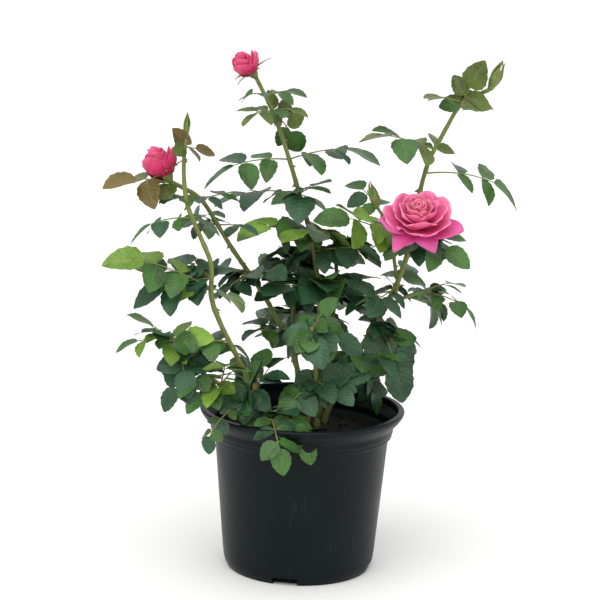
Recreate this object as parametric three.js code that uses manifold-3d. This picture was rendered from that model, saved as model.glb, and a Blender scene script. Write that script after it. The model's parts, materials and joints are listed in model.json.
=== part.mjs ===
// A rose bush in a 5 litre nursery pot. Millimetres, +Z up, the pot's underside centred on the
// origin, the side with the low front shoots towards -Y.
import * as THREE from "three";
import { mergeVertices } from "three/addons/utils/BufferGeometryUtils.js";
import Module from "manifold-3d";

const wasm = await Module();
wasm.setup();

// ---- sizes --------------------------------------------------------------------------------
const GAP = 0.4; // clear space left where one piece meets the next
const POT_RIM_RADIUS = 112.5; // standard 5 litre nursery pot
const POT_HEIGHT = 180;
const POT_WALL = 2;
const POT_FLOOR = 3;
const COLLAR_RADIUS = 101;
const COLLAR_FOOT = 156; // the collar turns under below this height
const BODY_TOP_RADIUS = 95.6;
const BODY_TOP = 147.5;
const BODY_FOOT_RADIUS = 84.4;
const BASE_RADIUS = 79;
const POT_SEGMENTS = 24;
const NOTCH_COUNT = 4; // drainage notches round the bottom edge
const NOTCH_WIDTH = 27;
const NOTCH_HEIGHT = 8;
const NOTCH_FIRST = -100; // degrees from +X
const SOIL_TOP = 150;
const SOIL_RADIUS = 93;
const CROWN_CENTRE = [9, 3]; // the knuckle that every cane springs from
const CROWN_RADIUS = 15;
const CROWN_TOP = 168;
const LIMB_SIDES = 5;
const RING_STEP = 36; // spacing of the rings along a cane
const LEAF_THICKNESS = 3.4; // least half thickness of a spray of leaves
const LEAF_FULLNESS = 0.19; // and how much thicker it is for each mm of its width
const COLLAR_OF_SPRAY = 6.5; // a spray wraps its cane by this much
const SPRAY_RINGS = 3; // rings along each arm of a spray
const FINE = 0.12; // detail smaller than this is dropped after a cut

// Canes and side shoots: the points each passes through, and its radius at foot and tip.
const LIMBS = {
  cane_left: {
    radii: [3.3, 1.5],
    path: [[0, -5, 158], [-25, -36, 172], [-50, -55, 209], [-76, -68, 259], [-101, -75, 315],
      [-99, -72, 357], [-121, -70, 392], [-131, -67, 430], [-130, -62, 480]],
  },
  cane_left_bloom: {
    radii: [3.1, 1.6],
    path: [[7, 7, 158], [-4, 25, 209], [-21, 28, 253], [-48, 15, 304], [-81, -8, 355],
      [-101, -25, 391], [-115, -38, 416], [-146, -47, 432]],
  },
  cane_centre: {
    radii: [3.4, 1.6],
    path: [[17, 11, 158], [24, 25, 204], [20, 35, 247], [14, 40, 303], [6, 42, 357],
      [-6, 42, 397], [-19, 38, 438], [-39, 30, 496], [-60, 23, 537]],
  },
  cane_right: {
    radii: [3.4, 1.5],
    path: [[22, 1, 158], [49, 15, 219], [83, 22, 279], [105, 26, 328], [119, 30, 392],
      [125, 28, 441], [146, 18, 488], [166, 9, 527], [177, 8, 531], [190, 6, 533]],
  },
  cane_front: { radii: [2.4, 1.2], path: [[11, -9, 158], [14, -45, 221], [7, -75, 285]] },
  cane_low_left: {
    radii: [2.4, 1.1],
    path: [[-2, -15, 154], [-43, -52, 190], [-78, -70, 213], [-104, -75, 230], [-126, -78, 248],
      [-140, -80, 273]],
  },
  cane_back: { radii: [2.8, 1.3], path: [[15, 20, 154], [22, 52, 220], [35, 80, 290], [32, 92, 345]] },
  cane_back_left: {
    radii: [2.7, 1.3],
    path: [[2, 18, 154], [-8, 46, 215], [-14, 70, 280], [-8, 78, 325]],
  },
  shoot_open_bloom: {
    radii: [2.1, 2.0],
    path: [[98, 25, 305], [102, 8, 328], [112, -20, 366], [117, -30, 387]],
  },
  shoot_side_bud: {
    radii: [1.4, 1.1],
    path: [[101, 26, 316], [95, 21, 345], [91, 17, 385], [84, 16, 395], [74, 13, 402]],
  },
  shoot_right: { radii: [1.7, 1.1], path: [[88, 23, 288], [106, 26, 299], [122, 30, 305], [134, 35, 306]] },
};

// Flower heads: where the axis points (heading from +X, lean from upright, degrees), then
// [height, radius] up the axis, petal lobes and how deep they are.
const OPEN_ROSE = [[0, 4], [5, 12], [11, 27], [17, 42], [23, 46], [30, 41], [38, 33], [43, 21], [42, 9]];
const HALF_OPEN_ROSE = [[0, 2.4], [5, 6], [9, 7], [14, 13], [22, 17], [29, 15], [33, 11], [35, 5]];
const GREEN_BUD = [[0, 1.8], [4, 4.2], [8, 5.2], [14, 4.6], [20, 2.4]];
const HEADS = {
  bloom_open: { on: "shoot_open_bloom", heading: -90, lean: 30, shape: OPEN_ROSE, lobes: 5, depth: 0.09 },
  bloom_left: { on: "cane_left_bloom", heading: 170, lean: 32, shape: HALF_OPEN_ROSE, lobes: 4, depth: 0.12 },
  bloom_top: { on: "cane_centre", heading: 190, lean: 38, shape: HALF_OPEN_ROSE, lobes: 3, depth: 0.1,
    scale: 0.84 },
  bud_side: { on: "shoot_side_bud", heading: 160, lean: 15, shape: GREEN_BUD, lobes: 3, depth: 0.1 },
  bud_right: { on: "cane_right", heading: 0, lean: 24, shape: GREEN_BUD, lobes: 3, depth: 0.1, scale: 1.2 },
  bud_left: { on: "cane_left", heading: 30, lean: 5, shape: GREEN_BUD, lobes: 3, depth: 0.1, scale: 0.95 },
};

// Sprays of leaves, by the limb they grow on. Each has the tint of its leaves, the fraction of the
// limb where it stands, and one arm for each compound leaf: [heading, reach, rise, width, tilt]: degrees
// from +X, mm out, mm up, mm across the leaflets, degrees that the blades lean over towards the
// front. A sixth number is the mm that an arm climbs before it hangs over the rim.
const SPRAYS = {
  cane_centre: {
    top_upper: ["mid", 0.94, [[-125, 50, 3, 16, 0], [35, 52, 5, 26, 0]]],
    top_lower: ["olive", 0.9, [[-125, 54, -12, 15, 20], [45, 48, -50, 38, 70], [-25, 45, -1, 12, 0]]],
    arms: ["mid", 0.75, [[-155, 104, -20, 32, 30], [15, 106, 8, 28, 0]]],
    whorl: ["dark", 0.65, [[160, 102, -20, 20, 0], [-50, 54, 24, 20, 0], [-90, 58, -14, 40, 40]]],
    young: ["young", 0.55, [[-140, 100, 4, 40, 20], [20, 88, -46, 34, 0]]],
    middle: ["dark", 0.48, [[-30, 88, 9, 38, 20], [140, 85, -20, 36, 0]]],
    low: ["dark", 0.39, [[-125, 98, 6, 54, 30], [-50, 92, 13, 42, 20], [80, 86, -19, 42, 0]]],
  },
  cane_left_bloom: {
    bloom: ["bronze", 0.93, [[-158, 100, 8, 30, 20]]],
    pair: ["mid", 0.87, [[-140, 60, 5, 15, 0], [50, 58, 4, 17, 0]]],
    round: ["dark", 0.77, [[120, 76, 1, 24, 20], [-30, 53, -3, 18, 0]]],
    dark: ["dark", 0.54, [[125, 82, -3, 30, 0], [-125, 60, -15, 20, 0], [-55, 62, 14, 26, 10]]],
    inner: ["dark", 0.31, [[-130, 72, 9, 24, 0], [70, 55, -23, 36, 0]]],
  },
  cane_left: {
    tip: ["bronze", 0.965, [[-125, 17, 24, 12, 0], [25, 36, -3, 16, 0]]],
    upper: ["mid", 0.78, [[-155, 70, -19, 22, 0], [70, 58, -26, 15, 0]]],
    young: ["young", 0.56, [[-165, 112, 42, 24, 20], [55, 62, -27, 17, 0]]],
    behind: ["dark", 0.59, [[130, 72, 20, 34, 20], [-170, 84, -28, 28, 30]]],
    middle: ["dark", 0.41, [[-150, 62, -8, 28, 30], [75, 52, -50, 17, 0]]],
    foot: ["dark", 0.24, [[-110, 38, -20, 26, 20], [55, 50, 35, 28, 0]]],
  },
  cane_low_left: {
    end: ["young", 0.97, [[-20, 42, 10, 27, 50], [-175, 64, -10, 24, 0]]],
    outer: ["dark", 0.86, [[-155, 62, 58, 24, 0], [-75, 26, -38, 34, 60]]],
    hanging: ["mid", 0.73, [[-155, 48, -38, 25, 50], [85, 46, 21, 23, 0]]],
    young: ["young", 0.6, [[-140, 50, -19, 25, 20], [-85, 53, 44, 21, 0]]],
    over_rim: ["mid", 0.42, [[-140, 56, -50, 20, 60, 30], [-50, 20, 53, 30, 20]]],
    rim: ["mid", 0.26, [[-80, 92, -44, 42, 70, 42]]],
  },
  cane_front: {
    top: ["mid", 0.95,
      [[-75, 42, -24, 34, 60], [-30, 26, 41, 17, 20], [175, 32, -27, 21, 30], [15, 58, -22, 34, 50]]],
    low: ["dark", 0.48, [[-140, 55, -36, 27, 40], [-40, 52, -16, 27, 40], [5, 62, 14, 32, 40]]],
  },
  cane_right: {
    top: ["olive", 0.91, [[-50, 32, 44, 30, 60], [-140, 52, 10, 15, 20], [25, 46, -2, 24, 10]]],
    high: ["olive", 0.77, [[-155, 90, 21, 28, 15], [80, 26, 19, 13, 0]]],
    arching: ["mid", 0.705, [[10, 116, -32, 26, 30]]],
    inner: ["dark", 0.385, [[65, 62, 29, 26, 20], [-110, 78, -8, 26, 30]]],
    hanging: ["dark", 0.31, [[-55, 50, -83, 34, 50], [50, 72, -49, 24, 20]]],
    low: ["dark", 0.2, [[100, 84, -48, 34, 10], [-60, 80, 3, 30, 20], [20, 32, -70, 32, 60]]],
  },
  shoot_side_bud: {
    upper: ["mid", 0.83, [[135, 66, 30, 20, 10]]],
    lower: ["young", 0.54, [[-160, 90, 30, 22, 25]]],
  },
  shoot_open_bloom: {
    whorl: ["mid", 0.8, [[-25, 68, -16, 28, 30], [35, 70, 20, 13, 0], [100, 88, -22, 19, 0]]],
  },
  shoot_right: {
    end: ["mid", 0.94, [[-10, 68, -36, 17, 10], [70, 50, -50, 24, 30], [40, 64, 4, 17, 0]]],
  },
  cane_back: {
    top: ["dark", 0.94, [[75, 78, -21, 36, -20], [120, 70, 2, 34, -20]]],
    lower: ["dark", 0.69, [[65, 82, -19, 40, -20], [115, 98, -18, 40, -20]]],
  },
  cane_back_left: {
    top: ["dark", 0.97, [[120, 84, -11, 36, -20], [-100, 48, 29, 28, 0]]],
    lower: ["dark", 0.68, [[115, 88, -21, 40, -20], [75, 108, -39, 40, -30]]],
  },
};

const COLOURS = { pot: 0x2a3436, soil: 0x15110f, cane: 0x66763c, petal: 0xdd3f7f, bud: 0x6f8a3c };
const LEAF_COLOURS = { dark: 0x24402a, mid: 0x43663a, young: 0x7ca545, olive: 0x64743a, bronze: 0x7d5a2c };

// ---- helpers ------------------------------------------------------------------------------
const UP = new THREE.Vector3(0, 0, 1);
const radians = THREE.MathUtils.degToRad;
const vector = (p) => new THREE.Vector3(p[0], p[1], p[2]);
const towards = (heading) => new THREE.Vector3(Math.cos(radians(heading)), Math.sin(radians(heading)), 0);

// A repeatable random sequence for one named piece.
function dice(name) {
  let state = 7;
  for (const letter of name) state = (state * 31 + letter.charCodeAt(0)) >>> 0;
  return () => {
    state = (state * 1664525 + 1013904223) >>> 0;
    return state / 4294967296;
  };
}

function solidOf(geometry) {
  const bare = geometry.clone();
  bare.deleteAttribute("normal");
  bare.deleteAttribute("uv");
  const merged = mergeVertices(bare, 1e-3);
  return new wasm.Manifold(new wasm.Mesh({
    numProp: 3,
    vertProperties: merged.attributes.position.array,
    triVerts: new Uint32Array(merged.index.array),
  }));
}

function geometryOf(solid) {
  const mesh = solid.getMesh();
  const geometry = new THREE.BufferGeometry();
  geometry.setAttribute("position", new THREE.BufferAttribute(new Float32Array(mesh.vertProperties), 3));
  geometry.setIndex(new THREE.BufferAttribute(new Uint32Array(mesh.triVerts), 1));
  const flat = geometry.toNonIndexed();
  flat.computeVertexNormals();
  return flat;
}

// A closed solid skinned over rings that all have the same number of points, each ring closed
// over at the ends by a point in its middle.
function skin(rings, first, last) {
  const sides = rings[0].length;
  const points = [first, ...rings.flat(), last];
  const faces = [];
  const at = (ring, side) => 1 + ring * sides + (side % sides);
  for (let side = 0; side < sides; side++) {
    faces.push(0, at(0, side + 1), at(0, side));
    for (let ring = 0; ring + 1 < rings.length; ring++) {
      faces.push(at(ring, side), at(ring, side + 1), at(ring + 1, side + 1));
      faces.push(at(ring, side), at(ring + 1, side + 1), at(ring + 1, side));
    }
    faces.push(points.length - 1, at(rings.length - 1, side), at(rings.length - 1, side + 1));
  }
  const geometry = new THREE.BufferGeometry();
  geometry.setAttribute("position", new THREE.Float32BufferAttribute(points.flatMap((p) => p.toArray()), 3));
  geometry.setIndex(faces);
  return solidOf(geometry);
}

function largest(solid) {
  const bodies = solid.decompose();
  return bodies.reduce((best, body) => (body.volume() > best.volume() ? body : best), bodies[0]);
}

const touches = (a, b) => {
  const p = a.boundingBox();
  const q = b.boundingBox();
  return [0, 1, 2].every((k) => p.min[k] <= q.max[k] && q.min[k] <= p.max[k]);
};

// What is left of a solid when every neighbour that comes near it has been cut away.
function trimmed(solid, cutters) {
  let left = solid;
  for (const cutter of cutters) if (touches(left, cutter)) left = left.subtract(cutter);
  return largest(largest(left).simplify(FINE));
}

// ---- pot and soil -------------------------------------------------------------------------
const wall = POT_WALL;
const outside = [
  [0, 0], [BASE_RADIUS, 0], [BODY_FOOT_RADIUS - 0.8, 12], [BODY_FOOT_RADIUS, 20], [BODY_TOP_RADIUS, BODY_TOP],
  [99.4, 151], [COLLAR_RADIUS - 0.4, COLLAR_FOOT], [COLLAR_RADIUS, 162], [108, 169.5],
  [POT_RIM_RADIUS, 176], [POT_RIM_RADIUS - 1, POT_HEIGHT],
];
const inside = [
  [POT_RIM_RADIUS - 7, POT_HEIGHT], [105.4, 171.6], [COLLAR_RADIUS - wall - 0.4, 163], [98, 155],
  [BODY_TOP_RADIUS - wall, 146.5], [BODY_FOOT_RADIUS - wall, 20], [BASE_RADIUS - wall, POT_FLOOR],
  [0, POT_FLOOR],
];
const profile = [...outside, ...inside].map(([r, z]) => new THREE.Vector2(r, z));
const lathe = new THREE.LatheGeometry(profile, POT_SEGMENTS);
lathe.rotateX(Math.PI / 2);
let pot = solidOf(lathe);
for (let n = 0; n < NOTCH_COUNT; n++) {
  const notch = new THREE.BoxGeometry(16, NOTCH_WIDTH, NOTCH_HEIGHT + 2);
  notch.translate(BASE_RADIUS, 0, NOTCH_HEIGHT / 2 - 1);
  notch.rotateZ(radians(NOTCH_FIRST + (360 / NOTCH_COUNT) * n));
  pot = pot.subtract(solidOf(notch));
}

// The rim with clear space round it, which leaves that hang over the pot keep out of.
const RIM_CLEARANCE = 2;
const GUARD_SEGMENTS = 24;
const guardLoop = [
  [BODY_TOP_RADIUS, 130],
  [COLLAR_RADIUS + RIM_CLEARANCE, 160],
  [POT_RIM_RADIUS + RIM_CLEARANCE, 173],
  [POT_RIM_RADIUS + RIM_CLEARANCE, POT_HEIGHT + RIM_CLEARANCE],
  [POT_RIM_RADIUS - 9, POT_HEIGHT + RIM_CLEARANCE],
  [BODY_TOP_RADIUS - 4, 130], [BODY_TOP_RADIUS, 130],
].map(([r, z]) => new THREE.Vector2(r, z));
const guardLathe = new THREE.LatheGeometry(guardLoop, GUARD_SEGMENTS);
guardLathe.rotateX(Math.PI / 2);
const rimGuard = solidOf(guardLathe);

const SOIL_SIDES = 16;
function soilRing(radius, height, lump, random) {
  const ring = [];
  for (let n = 0; n < SOIL_SIDES; n++) {
    const turn = (2 * Math.PI * n) / SOIL_SIDES;
    ring.push(new THREE.Vector3(radius * Math.cos(turn), radius * Math.sin(turn), height - lump * random()));
  }
  return ring;
}
const crumbs = dice("soil");
const soil = skin([
  soilRing(BASE_RADIUS - wall - 1.5, POT_FLOOR + 0.8, 0, crumbs),
  soilRing(BODY_FOOT_RADIUS - wall - 1, 20, 0, crumbs),
  soilRing(BODY_TOP_RADIUS - wall - 1.5, 144, 0, crumbs),
  soilRing(SOIL_RADIUS, SOIL_TOP - 1.5, 1.5, crumbs),
  soilRing(70, SOIL_TOP, 4, crumbs),
  soilRing(40, SOIL_TOP, 3, crumbs),
], new THREE.Vector3(0, 0, POT_FLOOR + 0.8), new THREE.Vector3(0, 0, SOIL_TOP));

// ---- crown and canes ----------------------------------------------------------------------
function crownSolid(margin) {
  const random = dice("crown");
  const rings = [[0, 0.92], [0.45, 1], [0.8, 0.78]].map(([share, part]) => {
    const ring = [];
    for (let n = 0; n < 10; n++) {
      const turn = (2 * Math.PI * n) / 10;
      const radius = CROWN_RADIUS * part * (0.9 + 0.2 * random()) + margin;
      const height = SOIL_TOP + GAP - margin + share * (CROWN_TOP - SOIL_TOP + margin);
      ring.push(new THREE.Vector3(
        CROWN_CENTRE[0] + radius * Math.cos(turn), CROWN_CENTRE[1] + radius * Math.sin(turn), height));
    }
    return ring;
  });
  const [x, y] = CROWN_CENTRE;
  const foot = new THREE.Vector3(x, y, SOIL_TOP + GAP - margin);
  return skin(rings, foot, new THREE.Vector3(x, y, CROWN_TOP + margin));
}

const curves = {};
for (const [name, limb] of Object.entries(LIMBS)) {
  curves[name] = new THREE.CatmullRomCurve3(limb.path.map(vector), false, "centripetal");
}

const limbRadius = (name, share) => {
  const [foot, tip] = LIMBS[name].radii;
  return foot + (tip - foot) * share ** 0.8;
};

function limbSolid(name, margin) {
  const curve = curves[name];
  const steps = Math.max(3, Math.round(curve.getLength() / RING_STEP));
  const frames = curve.computeFrenetFrames(steps, false);
  const rings = [];
  for (let step = 0; step <= steps; step++) {
    const centre = curve.getPointAt(step / steps);
    if (step === 0) centre.addScaledVector(frames.tangents[0], -margin);
    if (step === steps) centre.addScaledVector(frames.tangents[steps], margin);
    const radius = limbRadius(name, step / steps) + margin;
    const ring = [];
    for (let side = 0; side < LIMB_SIDES; side++) {
      const turn = (2 * Math.PI * side) / LIMB_SIDES;
      ring.push(centre.clone()
        .addScaledVector(frames.normals[step], radius * Math.cos(turn))
        .addScaledVector(frames.binormals[step], radius * Math.sin(turn)));
    }
    rings.push(ring);
  }
  const end = (step, way) =>
    curve.getPointAt(step / steps).addScaledVector(frames.tangents[step], way * margin);
  return skin(rings, end(0, -1), end(steps, 1));
}

// ---- flower heads -------------------------------------------------------------------------
function headSolid(name, margin) {
  const head = HEADS[name];
  const random = dice(name);
  const size = head.scale ?? 1;
  const axis = towards(head.heading).multiplyScalar(Math.sin(radians(head.lean)));
  axis.z = Math.cos(radians(head.lean));
  const across = new THREE.Vector3().crossVectors(UP, towards(head.heading)).normalize();
  const ahead = new THREE.Vector3().crossVectors(across, axis);
  const foot = curves[head.on].getPointAt(1).addScaledVector(axis, GAP + 0.3 - margin);
  const sides = head.shape.length > 8 ? 13 : 8;
  const phase = random() * 6;
  const rings = head.shape.map(([height, radius], level) => {
    const ring = [];
    const lobe = level > 1 ? head.depth : 0;
    for (let side = 0; side < sides; side++) {
      const turn = (2 * Math.PI * side) / sides;
      const swell = 1 + lobe * Math.cos(head.lobes * turn + phase) + lobe * 0.8 * (random() - 0.5);
      const reach = size * radius * swell + margin;
      ring.push(foot.clone()
        .addScaledVector(axis, size * height + (level ? margin : 0))
        .addScaledVector(across, reach * Math.cos(turn))
        .addScaledVector(ahead, -reach * Math.sin(turn)));
    }
    return ring;
  });
  const crest = head.shape[head.shape.length - 1];
  const rise = crest[1] > 6 ? crest[0] - 1.5 : crest[0] + 1.6 * crest[1];
  return skin(rings, foot.clone(), foot.clone().addScaledVector(axis, size * rise + margin));
}

// ---- sprays of leaves ---------------------------------------------------------------------
// One arm: a lens-shaped slab that swells and narrows like the leaflets along a leaf stalk.
function armSolid(start, arm, random, margin) {
  const [heading, reach, rise, width, tilt, climb] = arm;
  const way = towards(heading);
  const tip = start.clone().addScaledVector(way, reach).addScaledVector(UP, rise);
  const length = Math.hypot(reach, rise);
  const arch = length * (0.1 + 0.06 * random()) + Math.max(0, -rise) * 0.3;
  const bend = climb
    ? start.clone().addScaledVector(way, 0.85 * reach).addScaledVector(UP, climb)
    : start.clone().lerp(tip, 0.5).addScaledVector(UP, 1.2 * arch);
  const back = start.clone().addScaledVector(way, -COLLAR_OF_SPRAY);
  const path = new THREE.QuadraticBezierCurve3(back, bend, tip);
  const blade = new THREE.Vector3(0, -Math.sin(radians(tilt)), Math.cos(radians(tilt)));
  const rings = [];
  for (let step = 0; step < SPRAY_RINGS; step++) {
    const share = step / SPRAY_RINGS;
    const centre = path.getPoint(share);
    const along = path.getTangent(share);
    const side = new THREE.Vector3().crossVectors(blade, along).normalize();
    const face = new THREE.Vector3().crossVectors(along, side).normalize();
    const swell = (step === 0 ? 0.3 : 0.78 + 0.22 * Math.sin(Math.PI * share)) * (0.9 + 0.26 * random());
    const half = Math.max(COLLAR_OF_SPRAY - 0.5, (width / 2) * swell) + margin;
    const thick = LEAF_THICKNESS + LEAF_FULLNESS * width * swell + margin;
    const skew = 0.4 * (random() - 0.5);
    const shape = [[1, 0], [skew, 0.8], [-1, 0], [-skew, -1]];
    rings.push(shape.map(([u, v]) => centre.clone()
      .addScaledVector(side, u * half)
      .addScaledVector(face, v * thick)));
  }
  const stem = back.clone().addScaledVector(path.getTangent(0), -0.6 - 3 * margin);
  return skin(rings, stem, tip.clone().addScaledVector(path.getTangent(1), 3 * margin));
}

function spraySolid(limb, name, margin) {
  const [, share, arms] = SPRAYS[limb][name];
  const random = dice(`${limb}_leaves_${name}`);
  const start = curves[limb].getPointAt(share);
  return arms
    .map((arm) => armSolid(start, arm, random, margin))
    .reduce((whole, arm) => whole.add(arm));
}

// ---- the plant, piece by piece ------------------------------------------------------------
const bush = new THREE.Group();
const cutters = [];

function material(colour, roughness) {
  return new THREE.MeshStandardMaterial({ color: colour, roughness, metalness: 0 });
}

function add(name, solid, colour, roughness) {
  const mesh = new THREE.Mesh(geometryOf(solid), material(colour, roughness));
  mesh.name = name;
  bush.add(mesh);
}

add("pot", pot, COLOURS.pot, 0.45);
add("soil", soil, COLOURS.soil, 0.95);
add("crown", crownSolid(0), COLOURS.cane, 0.8);
cutters.push(crownSolid(GAP));
for (const name of Object.keys(LIMBS)) {
  add(name, trimmed(limbSolid(name, 0), cutters), COLOURS.cane, 0.7);
  cutters.push(limbSolid(name, GAP));
}
for (const name of Object.keys(HEADS)) {
  const colour = name.startsWith("bloom") ? COLOURS.petal : COLOURS.bud;
  add(name, trimmed(headSolid(name, 0), cutters), colour, 0.6);
  cutters.push(headSolid(name, GAP));
}
cutters.push(rimGuard);
for (const [limb, sprays] of Object.entries(SPRAYS)) {
  for (const [name, [tint]] of Object.entries(sprays)) {
    add(`${limb}_leaves_${name}`, trimmed(spraySolid(limb, name, 0), cutters), LEAF_COLOURS[tint], 0.6);
    cutters.push(spraySolid(limb, name, GAP));
  }
}

export default bush;
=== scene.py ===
import json
import math
import random

import bmesh
import bpy
import numpy as np
from mathutils import Matrix, Vector


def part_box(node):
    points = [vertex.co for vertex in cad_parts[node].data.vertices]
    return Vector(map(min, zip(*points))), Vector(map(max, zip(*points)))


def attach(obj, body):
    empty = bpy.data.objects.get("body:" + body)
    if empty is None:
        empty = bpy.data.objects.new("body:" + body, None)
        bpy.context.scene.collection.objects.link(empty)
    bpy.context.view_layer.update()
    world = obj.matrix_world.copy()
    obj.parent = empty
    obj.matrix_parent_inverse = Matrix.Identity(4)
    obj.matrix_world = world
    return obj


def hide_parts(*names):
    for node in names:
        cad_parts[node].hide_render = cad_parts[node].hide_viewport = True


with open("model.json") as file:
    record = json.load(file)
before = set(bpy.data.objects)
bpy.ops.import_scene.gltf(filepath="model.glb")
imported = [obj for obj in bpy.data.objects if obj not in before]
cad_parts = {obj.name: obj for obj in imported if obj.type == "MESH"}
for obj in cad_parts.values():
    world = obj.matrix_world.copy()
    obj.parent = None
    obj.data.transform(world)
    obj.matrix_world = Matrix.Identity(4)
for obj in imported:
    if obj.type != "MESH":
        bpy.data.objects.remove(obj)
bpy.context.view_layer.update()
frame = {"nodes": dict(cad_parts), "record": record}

UP = Vector((0, 0, 1))
MM = 0.001
FULL_TURN = 2 * math.pi
SEAM = 0.00002  # points nearer than this are merged where a spun form closes
NODES = frame["nodes"]
BODY = "root"


# ---- camera and studio --------------------------------------------------------------------
CAMERA_TARGET = Vector((-0.006, 0.0, 0.299))
CAMERA_DISTANCE = 2.178
CAMERA_ELEVATION = math.radians(11.48)
CAMERA_ROLL = math.radians(1.65)


def add_camera():
    data = bpy.data.cameras.new("camera")
    data.lens = 120
    data.sensor_width = 36
    camera = bpy.data.objects.new("camera", data)
    bpy.context.scene.collection.objects.link(camera)
    back = Vector((0, -math.cos(CAMERA_ELEVATION), math.sin(CAMERA_ELEVATION)))
    right = Vector((1, 0, 0))
    up = back.cross(right)
    cos, sin = math.cos(CAMERA_ROLL), math.sin(CAMERA_ROLL)
    turned_right = right * cos + up * sin
    turned_up = up * cos - right * sin
    turn = Matrix((turned_right, turned_up, back)).transposed().to_4x4()
    camera.matrix_world = Matrix.Translation(CAMERA_TARGET + back * CAMERA_DISTANCE) @ turn
    bpy.context.scene.camera = camera


def add_sun(name, place, strength, angle):
    """A broad soft light that shines from a place towards the plant."""
    data = bpy.data.lights.new(name, "SUN")
    data.energy = strength
    data.angle = math.radians(angle)
    light = bpy.data.objects.new(name, data)
    bpy.context.scene.collection.objects.link(light)
    way = -Vector(place)
    light.matrix_world = Matrix.Translation(place) @ way.to_track_quat("-Z", "Y").to_matrix().to_4x4()


add_camera()
add_sun("key_light", (-0.8, -1.9, 3.0), 2.2, 75)
add_sun("fill_light", (1.9, -1.6, 1.2), 0.5, 80)
add_sun("back_light", (0.4, 2.0, 2.2), 0.9, 90)


# ---- materials ----------------------------------------------------------------------------
# Sockets of a Mix node that blends colours: the second colour's share, both colours, the result.
SHARE, FIRST, SECOND, MIXED = 0, 6, 7, 2


def srgb(hex_colour):
    """A linear colour from an sRGB hex value."""
    channels = []
    for shift in (16, 8, 0):
        part = ((hex_colour >> shift) & 255) / 255
        channels.append(part / 12.92 if part <= 0.04045 else ((part + 0.055) / 1.055) ** 2.4)
    return (*channels, 1.0)


def lit(colour, factor):
    """A linear colour made lighter or darker, and held at white."""
    return tuple(min(1.0, channel * factor) for channel in colour[:3]) + (1.0,)


def lumps(size):
    """The scale of a noise pattern whose lumps are about size mm across."""
    return 1.0 / (size * MM)


def plug(tree, made, inputs):
    """Sets a node's inputs, by name or in order, or links those that are given as sockets."""
    for key, value in inputs.items() if isinstance(inputs, dict) else enumerate(inputs):
        if isinstance(value, bpy.types.NodeSocket):
            tree.links.new(value, made.inputs[key])
        else:
            made.inputs[key].default_value = value


def node(tree, kind, inputs, output=0, **settings):
    """Adds a shader node with its settings and links, and gives one of its outputs."""
    made = tree.nodes.new("ShaderNode" + kind)
    for key, value in settings.items():
        setattr(made, key, value)
    plug(tree, made, inputs)
    return made.outputs[output]


def material(name):
    """A new material with its tree, its shader and the coordinates that patterns read."""
    made = bpy.data.materials.new(name)
    made.use_nodes = True
    tree = made.node_tree
    tree.nodes.clear()
    output = tree.nodes.new("ShaderNodeOutputMaterial")
    shader = tree.nodes.new("ShaderNodeBsdfPrincipled")
    tree.links.new(shader.outputs["BSDF"], output.inputs["Surface"])
    return made, tree, shader, tree.nodes.new("ShaderNodeTexCoord").outputs


def leaf_material(name, blade, vein, underside, roughness):
    """Waxy rose leaf: a feathered net of paler veins on the blade, a dull paler underside."""
    made, tree, shader, place = material(name)
    across = node(tree, "SeparateXYZ", {"Vector": place["UV"]}, "X")
    along = across.node.outputs["Y"]
    offset = node(tree, "Math", [across, 0.5], operation="SUBTRACT")
    side = node(tree, "Math", [offset], operation="ABSOLUTE")
    midrib = node(tree, "MapRange", [side, 0.015, 0.05, 1.0, 0.0])
    # Seven pairs of side veins run out and forwards from the midrib, about 4 mm apart.
    lean = node(tree, "Math", [side, -0.62, along], operation="MULTIPLY_ADD")
    turns = node(tree, "Math", [lean, 7 * FULL_TURN], operation="MULTIPLY")
    wave = node(tree, "Math", [turns], operation="COSINE")
    side_veins = node(tree, "MapRange", [wave, 0.82, 1.0])
    veins = node(tree, "Math", [midrib, side_veins], operation="MAXIMUM")
    cloud = node(tree, "TexNoise", {"Vector": place["Object"], "Scale": lumps(26), "Detail": 3.0}, "Fac")
    fleck = node(tree, "TexNoise", {"Vector": place["Object"], "Scale": lumps(3), "Detail": 2.0}, "Fac")
    patches = node(tree, "MapRange", [cloud, 0.35, 0.68])
    darker, lighter = lit(srgb(blade), 0.62), lit(srgb(blade), 1.5)
    tinted = node(tree, "Mix", {SHARE: patches, FIRST: darker, SECOND: lighter}, MIXED, data_type="RGBA")
    flecks = node(tree, "MapRange", [fleck, 0.42, 0.7, 0.0, 0.35])
    mottled = node(tree, "Mix", {SHARE: flecks, FIRST: tinted, SECOND: srgb(vein)}, MIXED, data_type="RGBA")
    net = node(tree, "MapRange", [veins, 0.0, 1.0, 0.0, 0.3])
    upper = node(tree, "Mix", {SHARE: net, FIRST: mottled, SECOND: srgb(vein)}, MIXED, data_type="RGBA")
    ribs = node(tree, "MapRange", [veins, 0.0, 1.0, 0.0, 0.5])
    under = node(tree, "Mix", {SHARE: ribs, FIRST: srgb(underside), SECOND: srgb(vein)}, MIXED,
                 data_type="RGBA")
    back = node(tree, "NewGeometry", {}, "Backfacing")
    colour = node(tree, "Mix", {SHARE: back, FIRST: upper, SECOND: under}, MIXED, data_type="RGBA")
    rough = node(tree, "MapRange", [fleck, 0.3, 0.7, roughness - 0.06, roughness + 0.1])
    quilt = node(tree, "Math", [fleck, 0.35, wave], operation="MULTIPLY_ADD")
    relief = node(tree, "Bump", {"Height": quilt, "Distance": 0.25 * MM, "Strength": 0.35})
    plug(tree, shader, {"Base Color": colour, "Roughness": rough, "Normal": relief,
                        "Specular IOR Level": 0.4})
    return made


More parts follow.
